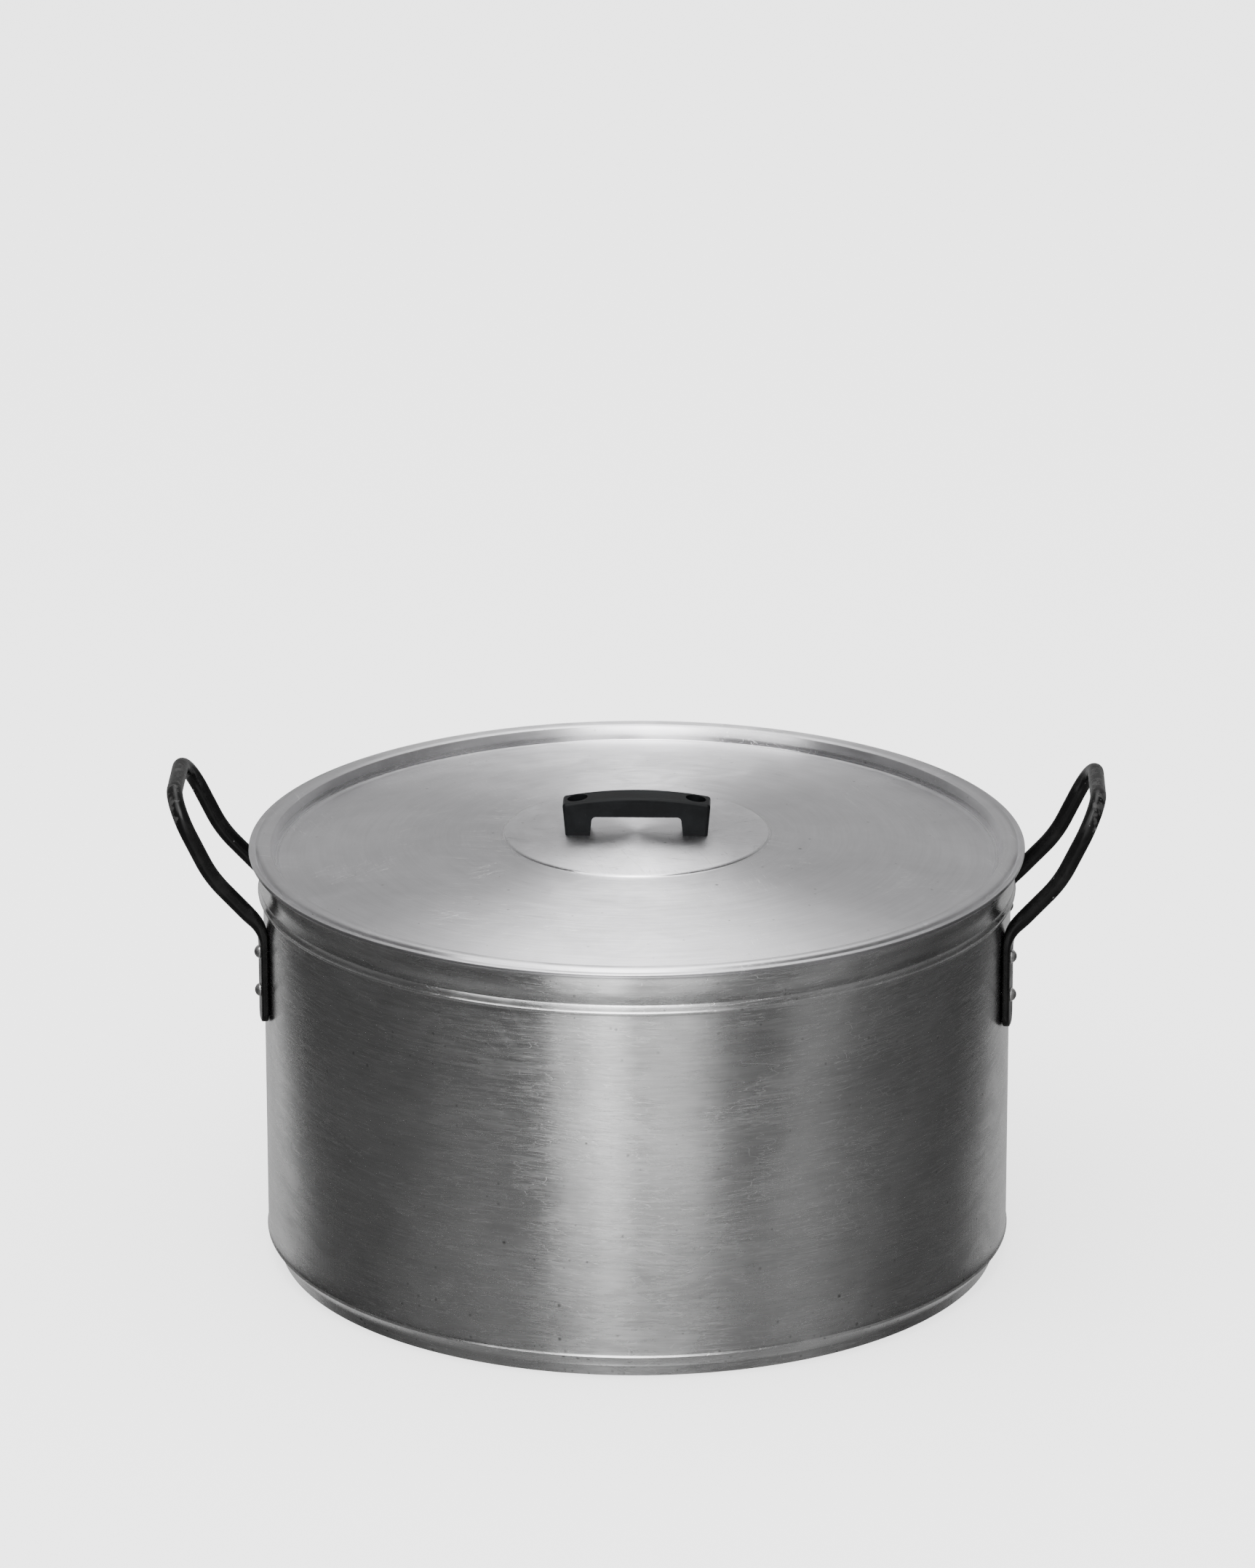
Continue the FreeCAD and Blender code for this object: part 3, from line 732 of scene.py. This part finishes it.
def lathe(work: BMesh, outline: Sequence[tuple[float, float]], segments: int) -> None:
    """Turn a closed outline of radius and height about Z.

    Args:
        work: the mesh to fill.
        outline: radius and height of each point; a radius of 0 closes on the axis.
        segments: faces round the axis.
    """
    rings = []
    for radius, height in outline:
        if radius < 1e-7:
            rings.append([work.verts.new((0, 0, height))])
            continue
        ring = []
        for step in range(segments):
            angle = 2 * math.pi * step / segments
            ring.append(work.verts.new((radius * math.cos(angle), radius * math.sin(angle), height)))
        rings.append(ring)
    for here, there in zip(rings, rings[1:] + rings[:1]):
        if len(here) == 1 and len(there) == 1:
            continue
        for step in range(segments):
            after = (step + 1) % segments
            loop = [here[step % len(here)], here[after % len(here)],
                    there[after % len(there)], there[step % len(there)]]
            work.faces.new(list(dict.fromkeys(loop)))


def bridge_rings(work: BMesh, rings: Sequence[Sequence[Vector]]) -> None:
    """Join rings of points into a capped tube.

    Args:
        work: the mesh to fill.
        rings: the tube's sections, all with the same number of points.
    """
    made = [[work.verts.new(point) for point in ring] for ring in rings]
    count = len(made[0])
    for here, there in zip(made, made[1:]):
        for i in range(count):
            j = (i + 1) % count
            work.faces.new((here[i], here[j], there[j], there[i]))
    work.faces.new(list(reversed(made[0])))
    work.faces.new(made[-1])


def ease(value: float) -> float:
    """Smooth step from 0 to 1."""
    value = min(max(value, 0.0), 1.0)
    return value * value * (3 - 2 * value)


def finish_piece(piece: Object, body: Body, material: Material,
                 stands_for: str) -> None:
    """Dress a new piece and let it ride in place of a node.

    Args:
        piece: the new object.
        body: the body that it rides on.
        material: its finish.
        stands_for: the node that it replaces.
    """
    piece.data.materials.append(material)
    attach(piece, body.value)
    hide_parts(stands_for)
    LOG.info("%s: %d faces", piece.name, len(piece.data.polygons))


def dress_node(node: str, material: Material) -> None:
    """Give a CAD node its finish on every material slot.

    Args:
        node: the node's name.
        material: its finish.
    """
    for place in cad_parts[node].material_slots:
        place.material = material
    LOG.info("%s: dressed in %s", node, material.name)


# ---------------------------------------------------------------- the pot


@dataclass
class Pot:
    """The drawn pot: base, rounded corner, wall, bead and rim band. Sizes in millimetres."""

    wall: float = 250.0
    gauge: float = 3.5
    base_gauge: float = 4.5
    corner: float = 15.0
    bead: float = 253.0
    bead_rise: float = 2.5
    ridge: float = 0.45
    lip: float = 0.05
    segments: int = 360
    rim: float = field(init=False)
    height: float = field(init=False)

    def __post_init__(self) -> None:
        """Read the rim's radius and height from the frame."""
        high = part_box("pot_body")[1]
        self.rim = high.x / MM
        self.height = high.z / MM

    def outline(self) -> list[tuple[float, float]]:
        """Draw the pot's section.

        Returns:
            Radius and height of each point, in metres.
        """
        bore = self.wall - self.gauge
        # radius, height and rounding of each corner
        corners = [
            (0, 0, 0),
            (self.wall + self.lip, 0, self.corner),
            (self.wall + self.lip, self.corner + 0.9, 0.4),
            (self.wall, self.corner + 2.0, 0.5),
            (self.wall, self.bead - 0.6, 1.0),
            (self.rim + self.ridge, self.bead + self.bead_rise * 0.45, 0.8),
            (self.rim + self.ridge, self.bead + self.bead_rise * 0.8, 0.5),
            (self.rim - 0.2, self.bead + self.bead_rise + 1.6, 1.2),
            (self.rim, self.bead + self.bead_rise + 5.0, 3.0),
            (self.rim, self.height, self.gauge * 0.48),
            (self.rim - self.gauge, self.height, self.gauge * 0.48),
            (self.rim - self.gauge, self.bead + self.bead_rise, 2.0),
            (bore, self.bead, 2.0),
            (bore, self.base_gauge, self.corner - self.gauge),
            (0, self.base_gauge, 0),
        ]
        return [(x * MM, z * MM) for x, z in rounded(corners, steps=9)]

    def build(self, wall: Material) -> Object:
        """Build and dress the pot.

        Args:
            wall: the sheet's finish.

        Returns:
            The pot.
        """
        outline = self.outline()
        piece = make_object("pot_sheet", lambda work: lathe(work, outline, self.segments))
        finish_piece(piece, Body.POT, wall, "pot_body")
        return piece


@dataclass
class Lid:
    """The pressed lid: flange, recess wall, domed panel and centre disc. Sizes in millimetres."""

    gauge: float = 2.0
    droop: float = 1.8
    flange_inner: float = 244.4
    recess: float = 9.5
    foot: float = 240.8
    disc: float = 88.0
    step: float = 1.6
    dome_sag: float = 3.1
    flange_top: float = 285.0
    segments: int = 360
    radius: float = field(init=False)
    top: float = field(init=False)

    def __post_init__(self) -> None:
        """Read the lid's radius and top from the frame."""
        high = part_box("lid_shell")[1]
        self.radius = high.x / MM
        self.top = high.z / MM

    def dome(self, radius: float) -> float:
        """Find the height of the panel's upper face.

        Args:
            radius: distance from the axis.

        Returns:
            The height there.
        """
        inner, outer = self.disc + 1.6, self.foot - 1.2
        low, high = self.flange_top - self.recess, self.top - self.step
        share = (outer - radius) / (outer - inner)
        return low + (high - low) * share + 4 * self.dome_sag * share * (1 - share)

    def outline(self) -> list[tuple[float, float]]:
        """Draw the lid's section.

        Returns:
            Radius and height of each point, in metres.
        """
        rings = 14
        inner, outer = self.disc + 4.0, self.foot - 6.0
        panel = [inner + (outer - inner) * i / rings for i in range(rings + 1)]
        floor = self.flange_top - self.recess
        # radius, height and rounding of each corner
        upper = [
            (0, self.top, 0),
            (self.disc - 0.3, self.top, 1.2),
            (self.disc + 1.3, self.dome(self.disc + 1.6), 1.0),
            *[(r, self.dome(r), 0) for r in panel],
            (self.foot - 1.6, floor + 0.35, 0.7),
            (self.foot + 0.2, floor - 0.15, 1.2),
            (self.flange_inner, self.flange_top, 1.3),
            (self.radius - 3.2, self.flange_top, 3.4),
            (self.radius, self.flange_top - self.droop, 0.5),
        ]
        lower = [
            (self.radius - 0.5, self.flange_top - self.droop - self.gauge, 0.5),
            (self.radius - 7.0, self.flange_top - self.gauge, 5.0),
            (self.flange_inner + self.gauge, self.flange_top - self.gauge, 1.0),
            (self.foot + self.gauge, floor - self.gauge, 3.0),
            *[(r, self.dome(r) - self.gauge, 0) for r in reversed(panel)],
            (self.disc - self.gauge, self.top - self.gauge, 1.0),
            (0, self.top - self.gauge, 0),
        ]
        return [(x * MM, z * MM) for x, z in rounded(upper + lower, steps=7)]

    def build(self, sheet: Material, disc: Material) -> Object:
        """Build and dress the lid.

        Args:
            sheet: finish of the flange and the panel.
            disc: finish of the centre disc.

        Returns:
            The lid.
        """
        outline = self.outline()
        piece = make_object("lid_sheet", lambda work: lathe(work, outline, self.segments))
        finish_piece(piece, Body.LID, sheet, "lid_shell")
        piece.data.materials.append(disc)
        for face in piece.data.polygons:
            if math.hypot(face.center.x, face.center.y) < (self.disc + 0.6) * MM:
                face.material_index = 1
        return piece


@dataclass
class SideHandle:
    """A bent bar whose ends are hammered flat on the wall. Sizes in millimetres."""

    node: str
    side: int
    bar: float = 10.8
    leg: float = 49.5
    pad_width: float = 19.0
    pad_thick: float = 5.0
    pad_low: float = 173.0
    pad_high: float = 229.0
    wall: float = 250.1
    wall_face: float = 250.0
    knee: tuple[float, float] = (281.5, 274.5)
    grip: tuple[float, float] = (306.5, 326.5)
    start: tuple[float, float] = (259.0, 250.5)
    bends: tuple[float, float, float] = (22.0, 80.0, 27.0)
    around: int = 40

    def leg_turn(self) -> float:
        """Angle round the wall from the middle of the handle to a leg."""
        return math.asin(self.leg / self.wall_face)

    def centre_line(self) -> list[Vector]:
        """Draw half of the bar's centre line.

        Returns:
            Points from a pad's lower end to the middle of the grip.
        """
        turn = self.leg_turn()
        pad = self.wall + self.pad_thick / 2
        pad_x, pad_y = pad * math.cos(turn), pad * math.sin(turn)
        climb = (self.knee[0] - self.start[0]) / (self.knee[1] - self.start[1])
        bend_height = self.start[1] - (self.start[0] - pad_x) / climb
        corners = [
            Vector((pad_x, pad_y, self.pad_low)),
            Vector((pad_x, pad_y, bend_height)),
            Vector((self.knee[0], self.leg, self.knee[1])),
            Vector((self.grip[0], self.leg, self.grip[1])),
            Vector((self.grip[0], 0.0, self.grip[1])),
        ]
        return dense_path(corners, self.bends, spacing=1.3)

    def section(self, height: float) -> tuple[float, float, float]:
        """Size the bar's section.

        Args:
            height: height of the section's centre.

        Returns:
            Thickness, width and the exponent that squares the section.
        """
        blend = ease((height - self.pad_high + 4) / (self.start[1] - self.pad_high + 4))
        thick = self.pad_thick + (self.bar - self.pad_thick) * blend
        width = self.pad_width + (self.bar - self.pad_width) * blend
        power = FLAT_POWER + (ROUND_POWER - FLAT_POWER) * min(blend * 1.5, 1.0)
        tip = self.pad_width / 2
        into = height - self.pad_low
        if into < tip:
            width *= math.sqrt(max(1 - ((tip - into) / tip) ** 2, 0.012))
            thick *= min(1.0, 0.72 + 0.28 * into / 2.0)
        return thick, width, power

    def rings(self) -> list[list[Vector]]:
        """Draw the sections of the whole handle.

        Returns:
            Rings of points in metres, from one pad round to the other.
        """
        line = self.centre_line()
        turn = self.leg_turn()
        across = Vector((-math.sin(turn), math.cos(turn), 0.0))
        half: list[list[Vector]] = []
        direction = (line[1] - line[0]).normalized()
        for i, centre in enumerate(line):
            ahead = line[min(i + 1, len(line) - 1)] - line[max(i - 1, 0)]
            heading = ahead.normalized()
            across = direction.rotation_difference(heading) @ across
            direction = heading
            facing = across.cross(heading).normalized()
            thick, width, power = self.section(centre.z)
            ring = []
            for step in range(self.around):
                angle = 2 * math.pi * step / self.around
                x, y = math.cos(angle), math.sin(angle)
                stretch = (abs(x) ** power + abs(y) ** power) ** (-1 / power)
                ring.append(centre + facing * (x * stretch * thick / 2) + across * (y * stretch * width / 2))
            half.append(ring)
        mirrored = [[Vector((p.x, -p.y, p.z)) for p in ring] for ring in reversed(half[:-1])]
        return [[Vector((p.x * self.side, p.y * self.side, p.z)) * MM for p in ring]
                for ring in half + mirrored]

    def build(self, paint: Material) -> Object:
        """Build and dress the handle.

        Args:
            paint: the bar's finish.

        Returns:
            The handle.
        """
        rings = self.rings()
        piece = make_object(self.node.replace("handle", "bar"), lambda work: bridge_rings(work, rings))
        finish_piece(piece, Body.POT, paint, self.node)
        return piece


def dense_path(corners: Sequence[Vector], bends: Sequence[float], spacing: float) -> list[Vector]:
    """Points along straight runs joined by round bends.

    Args:
        corners: the path's ends and corners.
        bends: centreline radius of the bend at each inner corner.
        spacing: greatest distance between points.

    Returns:
        The points from one end to the other.
    """
    points = [corners[0]]
    for i, radius in enumerate(bends, start=1):
        here = corners[i]
        back, onward = (corners[i - 1] - here).normalized(), (corners[i + 1] - here).normalized()
        half = back.angle(onward) / 2
        reach = radius / math.tan(half)
        centre = here + (back + onward).normalized() * (radius / math.sin(half))
        start, end = here + back * reach - centre, here + onward * reach - centre
        extend(points, centre + start, spacing)
        count = max(4, math.ceil(radius * start.angle(end) / spacing))
        swing = Quaternion(start.cross(end).normalized(), start.angle(end) / count)
        arm = start.copy()
        for _ in range(count):
            arm = swing @ arm
            points.append(centre + arm)
    extend(points, corners[-1], spacing)
    return points


def extend(points: list[Vector], target: Vector, spacing: float) -> None:
    """Carry a path straight on to a target in even steps.

    Args:
        points: the path so far.
        target: where it goes.
        spacing: greatest distance between points.
    """
    start = points[-1].copy()
    count = max(1, math.ceil((target - start).length / spacing))
    points.extend(start.lerp(target, step / count) for step in range(1, count + 1))


# ---------------------------------------------------------------- the studio


@dataclass(frozen=True)
class Softbox:
    """A soft light that faces the pot."""

    name: str
    azimuth: float
    elevation: float
    distance: float
    width: float
    height: float
    power: float

    def build(self, aim: Vector) -> Object:
        """Hang the light; azimuth is in degrees and 0 is towards -Y.

        Args:
            aim: the point that it faces.

        Returns:
            The light.
        """
        turn, lift = math.radians(self.azimuth), math.radians(self.elevation)
        back = Vector((math.sin(turn) * math.cos(lift), -math.cos(turn) * math.cos(lift), math.sin(lift)))
        lamp = bpy.data.lights.new(self.name, "AREA")
        lamp.shape = "RECTANGLE"
        lamp.size, lamp.size_y = self.width, self.height
        lamp.energy = self.power
        lamp.specular_factor = 0.0
        made = bpy.data.objects.new(self.name, lamp)
        made.location = aim + back * self.distance
        made.rotation_mode = "QUATERNION"
        made.rotation_quaternion = back.to_track_quat("Z", "Y")
        bpy.context.scene.collection.objects.link(made)
        return made


@dataclass
class Studio:
    """Pale floor, soft lights and the camera.

    Angles are in degrees, panels are pairs of azimuth and brightness, and a rise or side is
    the pair of direction values between which one part of the room gives way to the next.
    """

    camera_turn: float = 1.3
    camera_reach: float = 5.0
    camera_height: float = 2.017
    camera_tilt: float = 18.70
    camera_pan: float = 0.07
    camera_roll: float = 0.1
    lens: float = 181.75
    floor_size: float = 14.0
    floor_shift: float = 0.4
    aim_height: float = 0.2
    ambient: float = 1.9
    panel_rise: tuple[float, float] = (-0.1, 0.35)
    low_panels: tuple[tuple[float, float], ...] = (
        (-180, 0.42), (-164, 0.52), (-153, 0.7), (-145, 0.2), (-134, 0.05), (-100, 0.055), (-55, 0.07),
        (-36, 0.07), (-29, 0.1), (-24, 0.5), (-17, 0.58), (-11, 1.1), (-6, 0.95), (0, 0.42), (8, 0.5),
        (17, 0.46), (27, 0.17), (38, 0.09), (46, 0.1), (54, 0.19), (63, 0.17), (72, 0.09), (92, 0.06),
        (130, 0.045), (144, 0.12), (154, 0.45), (164, 0.5), (180, 0.42))
    high_panels: tuple[tuple[float, float], ...] = (
        (-180, 0.42), (-160, 0.42), (-140, 0.4), (-120, 0.15), (-60, 0.1), (-36, 0.12), (-28, 0.16),
        (-22, 1.5), (-17, 1.8), (-9, 2.6), (-3, 2.2), (2, 1.0), (9, 1.5), (17, 1.4), (27, 0.4),
        (40, 0.22), (60, 0.28), (90, 0.15), (120, 0.15), (140, 0.4), (160, 0.42), (180, 0.42))
    low_gain: float = 1.7
    low_rise: tuple[float, float] = (-0.25, -0.65)
    under: float = 0.26
    under_rise: tuple[float, float] = (-0.7, -0.9)
    ceiling_gain: float = 4.2
    ceiling_rise: tuple[float, float] = (0.52, 0.86)
    ceiling_side: tuple[float, float] = (0.36, 0.08)
    lights: tuple[Softbox, ...] = (
        Softbox("Overhead", -30.0, 62.0, 2.8, 2.4, 1.8, 48.0),
    )

    def build_floor(self) -> Object:
        """Lay the floor under the pot.

        Returns:
            The floor.
        """
        half = self.floor_size / 2

        def plane(work: BMesh) -> None:
            """Fill a mesh with one square, level with the pot's base."""
            corners = ((-half, -half), (half, -half), (half, half), (-half, half))
            work.faces.new([work.verts.new((x, y, 0.0)) for x, y in corners])

        floor = make_object("studio_floor", plane)
        floor.location.y = half * self.floor_shift
        floor.data.materials.append(FloorPaper().build())
        return floor

    def build_world(self) -> None:
        """Put panels of light round the room for gloss to mirror, with even light for the rest."""
        world = bpy.data.worlds.new("Studio air")
        world.use_nodes = True
        graph = Graph(world.node_tree)
        air = world.node_tree.nodes["Background"]
        toward = graph.node("ShaderNodeTexCoord").outputs["Generated"]
        split = graph.node("ShaderNodeSeparateXYZ", {0: toward})
        around = graph.math("ARCTAN2", split.outputs[0], graph.product(split.outputs[1], -1.0))
        share = graph.total(graph.math("DIVIDE", around, 2 * math.pi), 0.5 - self.camera_turn / 360)
        low, high = (self.panel_ramp(graph, share, panels) for panels in (self.low_panels, self.high_panels))
        level = graph.blend(graph.remap(split.outputs[2], *self.panel_rise), low, high)
        beside = graph.math("ABSOLUTE", split.outputs[0])
        ceiling = graph.product(graph.remap(split.outputs[2], *self.ceiling_rise),
                                graph.remap(beside, *self.ceiling_side))
        level = graph.total(level, graph.product(ceiling, self.ceiling_gain))
        level = graph.product(level, graph.remap(split.outputs[2], *self.low_rise, 1.0, self.low_gain))
        level = graph.blend(graph.remap(split.outputs[2], *self.under_rise), level, self.under)
        mirrored = graph.node("ShaderNodeLightPath").outputs["Is Glossy Ray"]
        graph.feed(air.inputs["Strength"], graph.blend(mirrored, self.ambient, level))
        air.inputs["Color"].default_value = rgb(1.0)
        world.cycles.sampling_method = "NONE"
        bpy.context.scene.world = world

    @staticmethod
    def panel_ramp(graph: Graph, share: Socket,
                   panels: Sequence[tuple[float, float]]) -> Socket:
        """Shade the room round one level.

        Args:
            graph: the world's graph.
            share: the direction round the pot, from 0 to 1.
            panels: pairs of azimuth in degrees, 0 in front, and brightness.

        Returns:
            The brightness in that direction.
        """
        ramp = graph.node("ShaderNodeValToRGB", {0: share})
        stops = ramp.color_ramp.elements
        stops.remove(stops[1])
        for index, (azimuth, bright) in enumerate(panels):
            stop = stops[0] if index == 0 else stops.new(azimuth / 360 + 0.5)
            stop.position = azimuth / 360 + 0.5
            stop.color = rgb(bright)
        return graph.node("ShaderNodeSeparateColor", {0: ramp.outputs[0]}).outputs[0]

    def build_camera(self) -> Object:
        """Stand the camera at its place and make it the scene's.

        Returns:
            The camera.
        """
        turn = math.radians(self.camera_turn)
        lens = bpy.data.cameras.new("Camera")
        lens.lens = self.lens
        lens.clip_end = 60.0
        camera = bpy.data.objects.new("Camera", lens)
        camera.location = (self.camera_reach * math.sin(turn), -self.camera_reach * math.cos(turn),
                           self.camera_height)
        tilt = Quaternion((1, 0, 0), math.radians(90 - self.camera_tilt))
        pan = Quaternion((0, 0, 1), turn + math.radians(self.camera_pan))
        roll = Quaternion((0, 0, 1), math.radians(-self.camera_roll))
        camera.rotation_mode = "QUATERNION"
        camera.rotation_quaternion = pan @ tilt @ roll
        bpy.context.scene.collection.objects.link(camera)
        bpy.context.scene.camera = camera
        return camera

    def build(self) -> None:
        """Build the floor, world, lights and camera."""
        self.build_floor()
        self.build_world()
        aim = Vector((0.0, 0.0, self.aim_height))
        for light in self.lights:
            light.build(aim)
        self.build_camera()


# ---------------------------------------------------------------- the whole


def main() -> None:
    """Build every piece in order."""
    logging.basicConfig(level=logging.INFO, format="%(name)s: %(message)s")
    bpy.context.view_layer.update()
    effects = Effects()
    wall = SpunAluminium("Brushed wall", Lay.WALL).build(effects)
    sheet = SpunAluminium("Brushed lid", Lay.DISC, tone=0.84, rough=0.3, anisotropy=0.88, lines=520.0,
                          streak=3.0, line_depth=0.1, cloud_depth=0.18, scratch_cover=0.44, base_pits_and_shade=0.03,
                          pit_share=0.03, cool=0.018, polished=(0.0892, 0.2412)).build(effects)
    disc = SpunAluminium("Cloudy disc", Lay.DISC, tone=0.8, rough=0.36, anisotropy=0.6, lines=520.0,
                         streak=3.0, line_depth=0.06, cloud_depth=0.46, scratch_light=-0.4, base_pits_and_shade=0.06,
                         pit_share=0.06, cool=0.018, polished=(0.0892,)).build(effects)
    paint = BarPaint().build(effects)
    plastic = MouldedPlastic().build(effects)
    rivet = FastenerMetal("Rivet aluminium", tone=0.78).build(effects)
    steel = FastenerMetal("Screw steel", tone=0.55, rough=0.3).build(effects)
    Pot().build(wall)
    Lid().build(sheet, disc)
    SideHandle("right_handle", 1).build(paint)
    SideHandle("left_handle", -1).build(paint)
    for side in ("left", "right"):
        for leg in ("front", "rear"):
            dress_node("%s_%s_rivets" % (side, leg), rivet)
    dress_node("lid_handle", plastic)
    for node in ("lid_handle_screws", "lid_washers", "lid_nuts"):
        dress_node(node, steel)
    Studio().build()
    bpy.context.view_layer.update()


if __name__ == "__main__":
    main()
